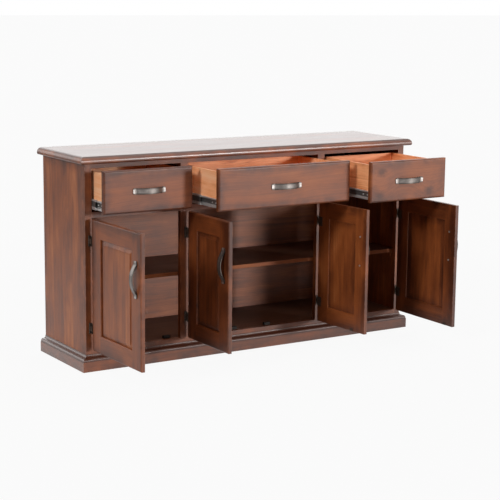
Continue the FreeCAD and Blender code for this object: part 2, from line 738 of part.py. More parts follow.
drawer(1, "-(bay_outer)", "-(bay_inner)")
drawer(2, "-(post_inner)", "(post_inner)")
drawer(3, "(bay_inner)", "(bay_outer)")
node(join("Compound", "channels", fixed_slides), "slide_channels")

document.recompute()
for thing in document.Objects:
    if "Invalid" in thing.State or "Error" in thing.State:
        raise RuntimeError(f"{thing.Name} did not compute")
for thing in nodes:
    if thing.Shape.isNull() or not thing.Shape.isValid() or not thing.Shape.Solids:
        raise RuntimeError(f"{thing.Label} is not a sound solid")
os.makedirs("parts", exist_ok=True)
for thing in nodes:
    thing.Shape.exportStep(f"parts/{thing.Label}.step")
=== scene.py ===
import json
import math

import bmesh
import bpy
import numpy as np
from mathutils import Matrix, Vector


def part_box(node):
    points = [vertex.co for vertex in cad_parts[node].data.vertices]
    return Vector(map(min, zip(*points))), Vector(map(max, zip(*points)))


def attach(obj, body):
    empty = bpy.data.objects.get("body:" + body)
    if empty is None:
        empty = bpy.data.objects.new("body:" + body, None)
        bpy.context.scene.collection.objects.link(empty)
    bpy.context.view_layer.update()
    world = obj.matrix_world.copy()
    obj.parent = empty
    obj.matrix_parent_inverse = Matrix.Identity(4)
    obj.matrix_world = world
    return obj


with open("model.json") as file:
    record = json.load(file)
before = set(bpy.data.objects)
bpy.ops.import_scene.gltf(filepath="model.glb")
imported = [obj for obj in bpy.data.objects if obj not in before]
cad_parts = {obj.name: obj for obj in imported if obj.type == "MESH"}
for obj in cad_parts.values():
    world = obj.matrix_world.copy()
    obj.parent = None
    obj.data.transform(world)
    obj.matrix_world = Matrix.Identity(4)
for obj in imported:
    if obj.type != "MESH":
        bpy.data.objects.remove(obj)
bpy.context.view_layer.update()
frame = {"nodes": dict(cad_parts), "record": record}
nodes = frame["nodes"]
X, Y, Z = 0, 1, 2

# Sizes and heights of the part that its finishes follow, in metres
BOX_SIDE = 0.012
DOOR_STILE = 0.070
PLINTH_FACE = 0.043
TOP_ROUND = 0.8955
HANDLE_DEPTH = 0.036
SLIDE_MIDDLE = 0.705

# Screws that hold a runner to its drawer: places along it and sizes, in metres, and the mesh of a head
RUNNER_HOLLOW = 0.0083
SCREW_SETBACKS = (0.014, 0.044, 0.200, 0.320)
SCREW_RADIUS, SCREW_RISE, SCREW_CROWN = 0.0036, 0.0013, 0.85
SLOT_HALF, SLOT_REACH, SLOT_DEPTH = 0.0005, 0.0021, 0.0007
SCREW_RINGS, SCREW_SIDES, SCREW_TWIST = 9, 32, 0.7

# Looks of wood: colours from its darkest marks to its palest, then its finish, with its darkening along
# edges (glaze and partly painted shade) and on level faces (painted shade)
STAIN = {
    "colours": ((0.0, (0.060, 0.013, 0.003)), (0.36, (0.160, 0.039, 0.009)),
                (0.62, (0.245, 0.063, 0.0135)), (1.0, (0.400, 0.125, 0.035))),
    "knot": (0.045, 0.012, 0.005),
    "wear": (0.330, 0.140, 0.075),
    "roughness": 0.50,
    "lacquer": 0.1,
    "shine": 0.44,
    "glaze_and_shade": 0.42,
    "level_shade": 0.0,
}
POLISHED = {**STAIN, "lacquer": 0.55}
MOULDED = {**STAIN, "lacquer": 0.8}
# Unpolished inside boards, with their level faces darkened by painted shade
RAW = {**STAIN, "roughness": 0.65, "lacquer": 0.0, "shine": 0.35, "glaze_and_shade": 0.15, "level_shade": 0.75}
PLAIN = {
    "colours": ((0.0, (0.490, 0.150, 0.049)), (0.36, (0.810, 0.332, 0.142)),
                (0.62, (0.910, 0.412, 0.198)), (1.0, (0.940, 0.515, 0.290))),
    "knot": (0.210, 0.070, 0.025),
    "wear": (0.720, 0.420, 0.230),
    "roughness": 0.55,
    "lacquer": 0.0,
    "shine": 0.4,
    "glaze_and_shade": 0.0,
    "level_shade": 0.0,
}
LACQUER_ROUGHNESS = 0.24

# Marks of pine: waves to a metre along, across and through the grain, then noise detail and roughness
STREAKS = ((1.0, 36, 36), 3.0, 0.6)
LINES = ((2.2, 120, 120), 2.0, 0.6)
BLOTCHES = ((4.5, 10, 10), 3.0, 0.55)
FIBRES = ((38, 1100, 1100), 2.0, 0.6)
WANDER, WANDER_REACH = (1.3, 5.0, 5.0), (0.0, 0.11, 0.11)
RINGS = {"Scale": 46, "Distortion": 2.4, "Detail": 2.0, "Detail Scale": 9.0, "Detail Roughness": 0.6}
RING_STRETCH = (0.12, 1, 1)

# How much each mark counts in a board's colour, its roughness and its relief
MIDDLE_LEVEL = 0.52
IN_COLOUR = {"tone": 0.14, "fibre": 0.18}
IN_FIGURE = {"ring": 0.10, "streak": 0.60, "line": 0.28, "blotch": 0.90}
IN_ROUGHNESS = {"fibre": 0.10, "blotch": 0.16, "knot": 0.04, "wear": 0.05}
IN_RELIEF = {"ring": 0.25, "fibre": 0.5, "streak": 0.5, "knot": 0.3}
RELIEF_DEPTH = 0.00022

# Where each board lies in its log: a step for each seed and the span that it wraps round in, in metres
LOG_STEPS = ((1.37, 5), (0.29, 0.4), (0.17, 0.3))
HEART_ACROSS, HEART_ACROSS_STEP = -0.05, (0.37, 0.06)
HEART_THROUGH, HEART_THROUGH_STEP = 0.045, (0.23, 0.05)
GLUED_STEP, GLUED_SPREAD = 3.1, (2.0, 0.5, 0.2)
MEMBER_ACROSS, MEMBER_THROUGH = 0.31, 0.13

# Knots: stretch in the face, waves of their ragged edge, reaches in radii, and the grain's swirl in metres
KNOT_STRETCH, KNOT_WAVES, KNOT_SHARE = (0.8, 0, 1), 70, 0.72
KNOT_HEART, KNOT_RIM, SWIRL_REACH = 0.15, 1.25, 4
SWIRL = 0.035
EYE_CELLS, EYE_CHANCE = (1.9, 4.6, 0), 0.86
EYE_WAVES, EYE_RAGGED, EYE_HEART, EYE_RIM = 60, 0.05, 0.012, 0.055

# Glaze and painted shade along edges, painted shade above a height and on level faces, and wear: reaches in
# metres, noises, and the stretch of each noise that shows as patches
GLAZE_AND_SHADE_REACH, GLAZE_AND_SHADE_CLOUD, GLAZE_AND_SHADE_PATCHES = 0.055, (7, 3.0, 0.6), (0.30, 0.62)
SHADE_ABOVE_WAVER, SHADE_ABOVE_LOW, SHADE_ABOVE_HIGH = 0.006, -0.002, 0.003
LEVEL_SHADE, LEVEL_SHADE_SLOPE, LEVEL_SHADE_PATCHES = (0.050, 0.026, 0.018), (0.5, 0.9), (0.2, 0.6, 0.7, 1)
ARRIS, RUB, RUB_PATCHES, WEAR_SHARE = (0.0003, 0.0042), (34, 3.0, 0.65), (0.42, 0.66), 0.45

# Metal: its noises' detail and roughness, how much they count, and the dark band along the middle of the
# slides, grease and painted shade in their recessed web
METAL_CLOUD, METAL_FINE, METAL_FINENESS = (4.0, 0.6), (2.0, 0.6), 9
METAL_COLOUR = {"cloud": 1.3, "fine": 0.2}
METAL_ROUGHNESS = {"cloud": 0.22, "fine": 0.12}
METAL_RELIEF = {"cloud": 0.6, "fine": 0.6}
METAL_DARK, METAL_BRIGHT, METAL_DEPTH = 0.15, 0.85, 0.00004
GREASE_AND_SHADE, GREASE_AND_SHADE_SHARE = (0.035, 0.031, 0.028), 0.78
GREASE_AND_SHADE_CORE, GREASE_AND_SHADE_HALF, GREASE_AND_SHADE_WAVER = 0.0100, 0.0125, 0.004

# Handles: colours from dark to bright, then where they are bright, in shares of their half width and length:
# rubbed pewter and painted highlight on crown and feet, painted shade at the edges
PEWTER = ((0.0, (0.070, 0.058, 0.050)), (0.45, (0.190, 0.166, 0.152)), (0.9, (0.540, 0.495, 0.470)))
PEWTER_CLOUD, PEWTER_FINE = (45, 3.0, 0.55), (420, 2.0, 0.6)
PEWTER_COLOUR = {"cloud": 0.45, "fine": 0.12}
PEWTER_ROUGHNESS = {"cloud": 0.20, "fine": 0.10}
PEWTER_RELIEF = {"cloud": 0.5, "fine": 0.25}
PEWTER_GLOSS, PEWTER_METAL, PEWTER_DEPTH = 0.36, 0.8, 0.00005
CROWN, CROWN_WAVER = (0.45, 0.98), 0.35
FOOT, FOOT_WAVER = (0.80, 0.92), 0.06
STRAP_SHARE, RUBBED_AND_HIGHLIT_SHARE = 0.62, 0.72
HANDLE_SCREW = (0.62, 0.60, 0.57)

# Boards of the carcase: grain axis, axis across it, and the width of the boards that it is glued up from
CARCASE = {
    "top_board": (X, Y, 0.112), "side_left": (Z, Y, 0.098), "side_right": (Z, Y, 0.098),
    "stile_left": (Z, X, None), "stile_right": (Z, X, None), "post_left": (Z, X, None),
    "post_right": (Z, X, None), "divider_left": (Y, Z, None), "divider_right": (Y, Z, None),
    "back_panel": (X, Z, 0.120), "floor_board": (X, Y, 0.096), "drawer_deck": (X, Y, 0.096),
    "shelf": (X, Y, 0.096), "floor_bearer": (Y, Z, None), "frieze_rail": (X, Z, None),
    "bottom_rail": (X, Z, None), "drawer_rails": (X, Z, None), "shelf_cleats": (X, Z, None),
    "slide_packers": (Y, Z, None), "plinth_front": (X, Z, None), "plinth_left": (Y, Z, None),
    "plinth_right": (Y, Z, None),
}
UNPOLISHED = ("floor_board", "drawer_deck", "shelf", "floor_bearer", "shelf_cleats", "slide_packers")
FINISHES = {**dict.fromkeys(UNPOLISHED, RAW), "top_board": POLISHED, "plinth_left": MOULDED}
# Painted light and shade: how much lighter than its fellows each board is painted, as it is lit
BOARD_LIGHT_SHADE = {"plinth_left": -0.10, "plinth_front": -0.14, "plinth_right": -0.10, "side_left": 0.11,
          "side_right": 0.05, "shelf": 0.18}
FIGURES = {"side_left": 1.35, "side_right": 1.35, "back_panel": 1.35}
# Painted shade: the height above which a board is darkened, and how dark, on the top's upper face and over
# the plinth's face
PAINTED_SHADE_ABOVE = {"top_board": (TOP_ROUND, 0.50), "plinth_front": (PLINTH_FACE, 0.60),
             "plinth_left": (PLINTH_FACE, 0.60), "plinth_right": (PLINTH_FACE, 0.60)}

# Drawers: painted light and shade of the front and of the box, as how much lighter each is than its fellows,
# and knots in the front as x, z and radius
DRAWERS = {1: (-0.11, 0.32), 2: (0.0, 0.0), 3: (0.0, -0.24)}
DRAWER_KNOTS = {3: ((0.431, 0.803, 0.024), (0.418, 0.699, 0.026), (0.696, 0.708, 0.024))}
FRONT_SEED, BOX_SEED, BOTTOM_SEED = 30, 40, 50
BOX_FIGURE, BOTTOM_FIGURE, BOTTOM_BOARDS = 2.0, 1.6, 0.11

# Doors: painted light and shade of the panel, as how much lighter it is than its fellows, and how the
# frame's differs from it
DOORS = {1: (0.09, -0.12), 2: (-0.12, -0.05), 3: (0.07, 0.00), 4: (-0.15, -0.07)}
FRAME_SEED, PANEL_SEED = 60, 70
PANEL_FIGURE, PANEL_BOARDS = 1.2, 0.105

# Studio: light from all round, how reflections of it dim with height, the floor, and where its glow fades
AMBIENT, OVERHEAD_DIM = 0.03, (0.30, 0.75, 1.0, 0.30)
FLOOR_SIZE, FLOOR_DROP = 160, 0.0005
FLOOR_PAINT, FLOOR_GLOW = (0.42, 0.42, 0.42, 1.0), 0.93
GLOW_MIDDLE, GLOW_FADE = (1.0, -2.0, 0.0), (4.0, 7.0, 1.0, 0.25)

# Suns: the direction that each stands in, its strength, and how many degrees wide it is
SUNS = {
    "key": ((0.517, -0.848, 0.118), 1.75, 8),
    "fill": ((-0.85, -0.30, 0.43), 1.40, 14),
    "window": ((-0.42, 0.87, 0.25), 0.30, 30),
    "back": ((0.53, 0.82, 0.24), 0.72, 60),
    "overhead": ((0.10, -0.20, 0.97), 2.0, 80),
}
SUN_DISTANCE = 5

# Camera fitted to the photograph: place in metres, angles in degrees, lens and sensor in millimetres
CAMERA_PLACE = (-3.3392, -5.4707, 1.5641)
CAMERA_YAW, CAMERA_PITCH, CAMERA_ROLL = 32.22, 10.2, -0.59
CAMERA_LENS, CAMERA_SENSOR = 103.05, 36


class Tree:
    """A node tree that is built up call by call."""

    def __init__(self, tree):
        self.tree = tree
        tree.nodes.clear()

    def feed(self, socket, value):
        if isinstance(value, bpy.types.NodeSocket):
            self.tree.links.new(value, socket)
        else:
            socket.default_value = value

    def node(self, kind, *values, named=None, **settings):
        """A node with its settings made and its inputs fed, in their order or by name."""
        made = self.tree.nodes.new("ShaderNode" + kind)
        for setting, value in settings.items():
            setattr(made, setting, value)
        for socket, value in zip(made.inputs, values):
            if value is not None:
                self.feed(socket, value)
        for socket, value in (named or {}).items():
            self.feed(made.inputs[socket], value)
        return made

    def math(self, operation, *values):
        return self.node("Math", *values, operation=operation).outputs[0]

    def vector(self, operation, *values):
        return self.node("VectorMath", *values, operation=operation).outputs[0]

    def measure(self, operation, *values):
        """A number worked out from vectors, such as a length."""
        return self.node("VectorMath", *values, operation=operation).outputs["Value"]

    def combine(self, x, y, z):
        return self.node("CombineXYZ", x, y, z).outputs[0]

    def separate(self, vector):
        return list(self.node("SeparateXYZ", vector).outputs)

    def place(self):
        """Coordinates of the object that is shaded."""
        return self.node("TexCoord").outputs["Object"]

    def noise(self, vector, scale, detail=2.0, roughness=0.5, output=0):
        made = self.node("TexNoise", named={"Vector": vector, "Scale": scale, "Detail": detail,
                                            "Roughness": roughness})
        return made.outputs[output]

    def stretched(self, vector, stretch, detail, roughness):
        """Noise with its own number of waves to a metre along each axis."""
        return self.noise(self.vector("MULTIPLY", vector, stretch), 1.0, detail, roughness)

    def uneven(self, value, noise, amount):
        """value plus an amount times how far a noise is from its middle."""
        return self.math("MULTIPLY_ADD", self.math("SUBTRACT", noise, 0.5), amount, value)

    def sum(self, start, marks, shares, factor=1.0):
        """start made uneven by each of the marks that has a share."""
        total = start
        for mark, share in shares.items():
            total = self.uneven(total, marks[mark], share * factor)
        return total

    def band(self, value, low, high, start=0.0, end=1.0):
        """value taken smoothly from low..high to start..end."""
        made = self.node("MapRange", value, low, high, start, end, interpolation_type="SMOOTHSTEP")
        return made.outputs[0]

    def ramp(self, value, stops):
        made = self.node("ValToRGB", value)
        elements = made.color_ramp.elements
        while len(elements) < len(stops):
            elements.new(1.0)
        for element, (position, colour) in zip(elements, stops):
            element.position = position
            element.color = (*colour, 1.0)
        return made.outputs[0]

    def blend(self, factor, first, second):
        """A colour between two."""
        made = self.node("Mix", factor, data_type="RGBA")
        for index, value in ((6, first), (7, second)):
            self.feed(made.inputs[index], (*value, 1.0) if isinstance(value, tuple) else value)
        return made.outputs[2]

    def choose(self, factor, first, second):
        """One vector or the other."""
        made = self.node("Mix", factor, data_type="VECTOR")
        for index, value in ((4, first), (5, second)):
            self.feed(made.inputs[index], value)
        return made.outputs[1]


class Shader(Tree):
    """A material built up around one Principled shader."""

    def __init__(self, name):
        self.material = bpy.data.materials.new(name)
        self.material.use_nodes = True
        super().__init__(self.material.node_tree)
        self.surface = self.node("BsdfPrincipled")
        self.node("OutputMaterial", self.surface.outputs[0])

    def set(self, **values):
        for socket, value in values.items():
            self.feed(self.surface.inputs[socket.replace("_", " ")], value)

    def bump(self, height, distance):
        made = self.node("Bump", named={"Distance": distance, "Height": height})
        self.set(Normal=made.outputs[0])

    def shut_place(self, body):
        """Coordinates that stay on a body, with a door turned shut."""
        turn, shift = shut(body)
        return self.node("Mapping", self.place(), shift, (0, 0, turn)).outputs[0]

    def edge(self, point, low, high):
        """Distance from a point on a board to its nearest arris."""
        middle = [(a + b) / 2 for a, b in zip(low, high)]
        half = [(b - a) / 2 for a, b in zip(low, high)]
        offset = self.vector("ABSOLUTE", self.vector("SUBTRACT", point, middle))
        a, b, c = self.separate(self.vector("SUBTRACT", half, offset))
        return self.math("MAXIMUM", self.math("MINIMUM", a, b),
                         self.math("MINIMUM", self.math("MAXIMUM", a, b), c))


def shut(body):
    """Turn and shift that carry a door from where it stands open to where it is shut."""
    for joint in frame["record"]["behaviour"]["joints"]:
        if joint["child"] == body and joint["type"] == "hinge":
            turn = math.radians(joint["range_deg"][0]) * joint["axis"][Z]
            pin = Vector(joint["pos_m"])
            return turn, pin - Matrix.Rotation(turn, 3, "Z") @ pin
    return 0.0, Vector((0, 0, 0))


def limits(name, body):
    """Lowest and highest corners of a node's vertices, with a door turned shut."""
    turn, shift = shut(body)
    mesh = nodes[name].data
    points = np.empty(len(mesh.vertices) * 3)
    mesh.vertices.foreach_get("co", points)
    points = points.reshape(-1, 3) @ np.array(Matrix.Rotation(turn, 3, "Z")).T + np.array(shift)
    return points.min(axis=0).tolist(), points.max(axis=0).tolist()


def scattered(seed, step, span):
    """A seed's own place within a span."""
    return seed * step % span


def grain_line(shader, axes, grain, across):
    """Coordinates along, across and through the grain."""
    return shader.combine(axes[grain], axes[across], axes[3 - grain - across])


def framed(shader, axes, line, low, high, axis, width, grain, across):
    """A frame's grain line: line between its end members, and the members' own line in them."""
    offset = shader.math("SUBTRACT", axes[axis], (low[axis] + high[axis]) / 2)
    inner = (high[axis] - low[axis]) / 2 - width
    outside = shader.math("GREATER_THAN", shader.math("ABSOLUTE", offset), inner)
    side = shader.math("SIGN", offset)
    away = shader.combine(side, shader.math("MULTIPLY", side, MEMBER_ACROSS), MEMBER_THROUGH)
    member = shader.vector("ADD", grain_line(shader, axes, grain, across), away)
    return shader.choose(outside, line, member)


def glued_up(shader, line, plank, seed):
    """The grain line of boards glued side by side, each from another place in its log, and their tones."""
    count = shader.math("FLOOR", shader.math("DIVIDE", shader.separate(line)[1], plank))
    number = shader.math("ADD", count, seed * GLUED_STEP)
    random = shader.node("TexWhiteNoise", noise_dimensions="1D", named={"W": number})
    away = shader.vector("MULTIPLY", random.outputs["Color"], GLUED_SPREAD)
    return shader.vector("ADD", line, away), random.outputs["Value"]


def wandering(shader, line):
    """A grain line that wanders as it goes along."""
    drift = shader.noise(shader.vector("MULTIPLY", line, WANDER), 1.0, output="Color")
    drift = shader.vector("SUBTRACT", drift, (0.5, 0.5, 0.5))
    return shader.vector("ADD", line, shader.vector("MULTIPLY", drift, WANDER_REACH))


def placed_knots(shader, point, flow, knots):
    """Knots at their places in the face, and the grain that flows round them."""
    knot = 0.0
    for spot_x, spot_z, radius in knots:
        reach = shader.vector("SUBTRACT", point, (spot_x, 0, spot_z))
        span = shader.measure("LENGTH", shader.vector("MULTIPLY", reach, KNOT_STRETCH))
        ragged = shader.uneven(span, shader.noise(point, KNOT_WAVES), radius)
        dark = shader.band(ragged, radius * KNOT_HEART, radius * KNOT_RIM, 1, 0)
        knot = shader.math("MAXIMUM", knot, dark)
        swirl = shader.band(span, 0, radius * SWIRL_REACH, SWIRL, 0)
        flow = shader.vector("ADD", flow, shader.combine(0, swirl, swirl))
    return knot, flow


def chance_knots(shader, point, line):
    """Small knots in some of the cells that a board is divided into."""
    cells = shader.node("TexVoronoi", named={"Vector": shader.vector("MULTIPLY", line, EYE_CELLS),
                                             "Scale": 1.0})
    chosen = shader.math("GREATER_THAN", shader.separate(cells.outputs["Color"])[0], EYE_CHANCE)
    ragged = shader.uneven(cells.outputs["Distance"], shader.noise(point, EYE_WAVES), EYE_RAGGED)
    return shader.math("MULTIPLY", shader.band(ragged, EYE_HEART, EYE_RIM, 1, 0), chosen)


def growth_rings(shader, flow, seed):
    """Rings of the log round its heart, which lies beside the board."""
    heart = (0.0, HEART_ACROSS - scattered(seed, *HEART_ACROSS_STEP),
             HEART_THROUGH + scattered(seed, *HEART_THROUGH_STEP))
    around = shader.vector("MULTIPLY", shader.vector("ADD", flow, heart), RING_STRETCH)
    rings = shader.node("TexWave", wave_type="RINGS", rings_direction="X", wave_profile="SAW",
                        named={"Vector": around, **RINGS})
    return rings.outputs["Fac"]


def glazed_and_shaded(shader, level, point, border, glaze_and_shade):
    """level darkened by patches along a board's edges: glaze, and partly painted shade."""
    patches = shader.band(shader.noise(point, *GLAZE_AND_SHADE_CLOUD), *GLAZE_AND_SHADE_PATCHES)
    shade = shader.math("MULTIPLY", shader.band(border, 0, GLAZE_AND_SHADE_REACH, 1, 0), patches)
    return shader.math("MULTIPLY_ADD", shade, -glaze_and_shade, level)


def shade_above_height(shader, level, rise, blotch, height, darkness):
    """level darkened above a height: painted shade."""
    ragged = shader.uneven(rise, blotch, SHADE_ABOVE_WAVER)
    shade = shader.band(ragged, height + SHADE_ABOVE_LOW, height + SHADE_ABOVE_HIGH)
    return shader.math("MULTIPLY_ADD", shade, -darkness, level)


def shaded_level_faces(shader, colour, blotch, level_shade):
    """colour darkened on level faces, facing up and down: painted shade."""
    slope = shader.separate(shader.node("NewGeometry").outputs["Normal"])[Z]
    level_shaded = shader.math("MULTIPLY", shader.band(shader.math("ABSOLUTE", slope), *LEVEL_SHADE_SLOPE),
                          shader.band(blotch, *LEVEL_SHADE_PATCHES))
    return shader.blend(shader.math("MULTIPLY", level_shaded, level_shade), colour, LEVEL_SHADE)


def wood(name, look, grain, across, seed, plank=None, ends=None, body="carcase", knots=(), figure=1.0,
         light_shade=0.0, shade_above=None):
    """Pine cut from a log that lies along its grain, stained or plain.

    plank is the width of the boards that a wide panel is glued up from. ends says where the other members
    of a frame begin: an axis, their width from either end of it, and their own grain and cross axes.
    knots are places (x, z) and radii in the face. figure is how strong the grain's figure is, and
    light_shade how much lighter than its fellows a piece is painted, as painted light and shade. shade_above
    is the height above which a board is darkened with painted shade, and how dark it is.
    """
    shader = Shader(name)
    point = shader.shut_place(body)
    low, high = limits(name, body)
    axes = shader.separate(point)
    line = grain_line(shader, axes, grain, across)
    if ends:
        line = framed(shader, axes, line, low, high, *ends)
    line = shader.vector("ADD", line, [scattered(seed, *step) for step in LOG_STEPS])
    tone = 0.5
    if plank:
        line, tone = glued_up(shader, line, plank, seed)
    knot, flow = placed_knots(shader, point, wandering(shader, line), knots)
    knot = shader.math("MAXIMUM", knot, chance_knots(shader, point, line))
    border = shader.edge(point, low, high)
    brightened = shader.band(shader.noise(point, *RUB), *RUB_PATCHES)
    marks = {
        "tone": tone,
        "knot": knot,
        "ring": growth_rings(shader, flow, seed),
        "streak": shader.stretched(flow, *STREAKS),
        "line": shader.stretched(flow, *LINES),
        "blotch": shader.stretched(line, *BLOTCHES),
        "fibre": shader.stretched(line, *FIBRES),
        "wear": shader.math("MULTIPLY", shader.band(border, *ARRIS, 1, 0), brightened),
    }

    # Painted light and shade: the whole piece made lighter or darker than its fellows
    level = shader.sum(MIDDLE_LEVEL + light_shade, marks, IN_COLOUR)
    level = shader.sum(level, marks, IN_FIGURE, figure)
    # Darkening along the edges: glaze, and partly painted shade
    if look["glaze_and_shade"]:
        level = glazed_and_shaded(shader, level, point, border, look["glaze_and_shade"])
    # Painted shade above a height
    if shade_above:
        level = shade_above_height(shader, level, axes[Z], marks["blotch"], *shade_above)
    colour = shader.ramp(level, look["colours"])
    # Painted shade on level faces
    if look["level_shade"]:
        colour = shaded_level_faces(shader, colour, marks["blotch"], look["level_shade"])
    colour = shader.blend(shader.math("MULTIPLY", knot, KNOT_SHARE), colour, look["knot"])
    colour = shader.blend(shader.math("MULTIPLY", marks["wear"], WEAR_SHARE), colour, look["wear"])
    shader.set(Base_Color=colour, Coat_Weight=look["lacquer"], Coat_Roughness=LACQUER_ROUGHNESS,
               Specular_IOR_Level=look["shine"],
               Roughness=shader.sum(look["roughness"], marks, IN_ROUGHNESS))
    shader.bump(shader.sum(0.5, marks, IN_RELIEF), RELIEF_DEPTH)
    return shader.material


def greased_and_shaded(shader, colour, rise, cloud):
    """colour darkened along the middle of a slide: grease, and painted shade in its recessed web."""
    away = shader.math("ABSOLUTE", shader.math("SUBTRACT", rise, SLIDE_MIDDLE))
    ragged = shader.uneven(away, cloud, GREASE_AND_SHADE_WAVER)
    return shader.blend(shader.band(ragged, GREASE_AND_SHADE_CORE, GREASE_AND_SHADE_HALF, GREASE_AND_SHADE_SHARE, 0), colour, GREASE_AND_SHADE)


def metal(name, dark, bright, roughness, scale, metallic, shine=0.5, grain=(1, 1, 1), greasy_and_shaded=False):
    """Metal or plastic whose tone, gloss and surface vary."""
    shader = Shader(name)
    place = shader.place()
    point = shader.vector("MULTIPLY", place, grain)
    marks = {"cloud": shader.noise(point, scale, *METAL_CLOUD),
             "fine": shader.noise(point, scale * METAL_FINENESS, *METAL_FINE)}
    level = shader.sum(0.5, marks, METAL_COLOUR)
    colour = shader.ramp(level, ((METAL_DARK, dark), (METAL_BRIGHT, bright)))
    # A dark band along the middle of a slide: grease, and painted shade in its recessed web
    if greasy_and_shaded:
        colour = greased_and_shaded(shader, colour, shader.separate(place)[Z], marks["cloud"])
    shader.set(Base_Color=colour, Metallic=metallic, Specular_IOR_Level=shine,
               Roughness=shader.sum(roughness, marks, METAL_ROUGHNESS))
    shader.bump(shader.sum(0.5, marks, METAL_RELIEF), METAL_DEPTH)
    return shader.material


def pewter(name, body, run, across):
    """A cast handle bright along its crown and on its feet, dark along its edges and behind.

    The bright parts are rubbed pewter with painted highlight; the dark edges are painted shade.
    """
    shader = Shader(name)
    point = shader.shut_place(body)
    low, high = limits(name, body)
    axes = shader.separate(point)

    def from_middle(axis):
        offset = shader.math("SUBTRACT", axes[axis], (low[axis] + high[axis]) / 2)
        return shader.math("DIVIDE", shader.math("ABSOLUTE", offset), (high[axis] - low[axis]) / 2)

    marks = {"cloud": shader.noise(point, *PEWTER_CLOUD), "fine": shader.noise(point, *PEWTER_FINE)}
    # Bright crown and feet: rubbed pewter and painted highlight; dark edges: painted shade
    crown = shader.band(shader.uneven(from_middle(across), marks["cloud"], CROWN_WAVER), *CROWN, 1, 0)
    foot = shader.band(shader.uneven(from_middle(run), marks["cloud"], FOOT_WAVER), *FOOT)
    brightened = shader.math("MULTIPLY", crown, shader.math("MAXIMUM", STRAP_SHARE, foot))
    level = shader.sum(shader.math("MULTIPLY", brightened, RUBBED_AND_HIGHLIT_SHARE), marks, PEWTER_COLOUR)
    screw = shader.math("GREATER_THAN", axes[Y], low[Y] + HANDLE_DEPTH)
    shader.set(Base_Color=shader.blend(screw, shader.ramp(level, PEWTER), HANDLE_SCREW),
               Metallic=PEWTER_METAL, Roughness=shader.sum(PEWTER_GLOSS, marks, PEWTER_ROUGHNESS))
    shader.bump(shader.sum(0.5, marks, PEWTER_RELIEF), PEWTER_DEPTH)
    return shader.material


def coat(name, material):
    """Give a CAD node its finish."""
    for slot in nodes[name].material_slots:
        slot.material = material


def coat_carcase():
    """Boards of the carcase, each cut from its own log."""
    for seed, (board, (grain, across, plank)) in enumerate(CARCASE.items(), 1):
        # Each board's painted light and shade, and its painted shade above a height where it has one
        coat(board, wood(board, FINISHES.get(board, STAIN), grain, across, seed, plank,
                         figure=FIGURES.get(board, 1.0), light_shade=BOARD_LIGHT_SHADE.get(board, 0.0),
                         shade_above=PAINTED_SHADE_ABOVE.get(board)))


def coat_drawers():
    """Stained fronts, and boxes and bottoms left plain."""
    # Each drawer's front and box are painted lighter or darker: painted light and shade
    for number, (front_light_shade, box_light_shade) in DRAWERS.items():
        front, box, bottom = (f"drawer_{number}_{piece}" for piece in ("front", "box", "bottom"))
        coat(front, wood(front, STAIN, X, Z, FRONT_SEED + number, light_shade=front_light_shade,
                         knots=DRAWER_KNOTS.get(number, ())))
        coat(box, wood(box, PLAIN, X, Z, BOX_SEED + number, ends=(X, BOX_SIDE, Y, Z), figure=BOX_FIGURE,
                       light_shade=box_light_shade))
        coat(bottom, wood(bottom, PLAIN, X, Y, BOTTOM_SEED + number, plank=BOTTOM_BOARDS,
                          figure=BOTTOM_FIGURE))


def coat_doors():
    """Stained frames and panels."""
    # Each door's panel and frame are painted lighter or darker: painted light and shade
    for number, (panel_light_shade, frame_light_shade) in DOORS.items():
        door = f"door_{number}"
        coat(f"{door}_frame", wood(f"{door}_frame", STAIN, X, Z, FRAME_SEED + number, body=door,
                                   ends=(X, DOOR_STILE, Z, X), light_shade=panel_light_shade + frame_light_shade))
        coat(f"{door}_panel", wood(f"{door}_panel", STAIN, Z, X, PANEL_SEED + number, body=door,
                                   plank=PANEL_BOARDS, figure=PANEL_FIGURE, light_shade=panel_light_shade))


def coat_metalwork():
    """Handles, slides, hinges and catches."""
    iron = metal("black_iron", (0.012, 0.008, 0.006), (0.065, 0.038, 0.025), roughness=0.60, scale=160,
                 metallic=0.0, shine=0.3)
    # The slides' dark middle band is grease and painted shade
    zinc = metal("zinc_steel", (0.46, 0.45, 0.44), (0.80, 0.79, 0.78), roughness=0.38, scale=60,
                 metallic=0.75, grain=(3, 0.5, 3), greasy_and_shaded=True)
    plastic = metal("catch_plastic", (0.008, 0.006, 0.005), (0.022, 0.015, 0.012), roughness=0.65, scale=240,
                    metallic=0.0, shine=0.2)
    for number in DRAWERS:
        coat(f"drawer_{number}_handle", pewter(f"drawer_{number}_handle", f"drawer_{number}", X, Z))
        coat(f"drawer_{number}_runners", zinc)
        coat(f"slide_middle_{number}", zinc)
    for number in DOORS:
        coat(f"door_{number}_handle", pewter(f"door_{number}_handle", f"door_{number}", Z, X))
        coat(f"door_{number}_ironwork", iron)
    coat("slide_channels", zinc)
    coat("hinge_frame_leaves", iron)
    coat("hinge_pins", iron)
    coat("magnet_catches", plastic)


def head_rise(radius, angle):
    """How high a screw's domed head stands at a place on it, less in its crossed slots."""
    from_slots = radius * min(abs(math.cos(angle)), abs(math.sin(angle)))
    slotted = radius < SLOT_REACH and from_slots < SLOT_HALF
    dome = SCREW_RISE * math.sqrt(1 - SCREW_CROWN * (radius / SCREW_RADIUS) ** 2)
    return dome - SLOT_DEPTH * slotted


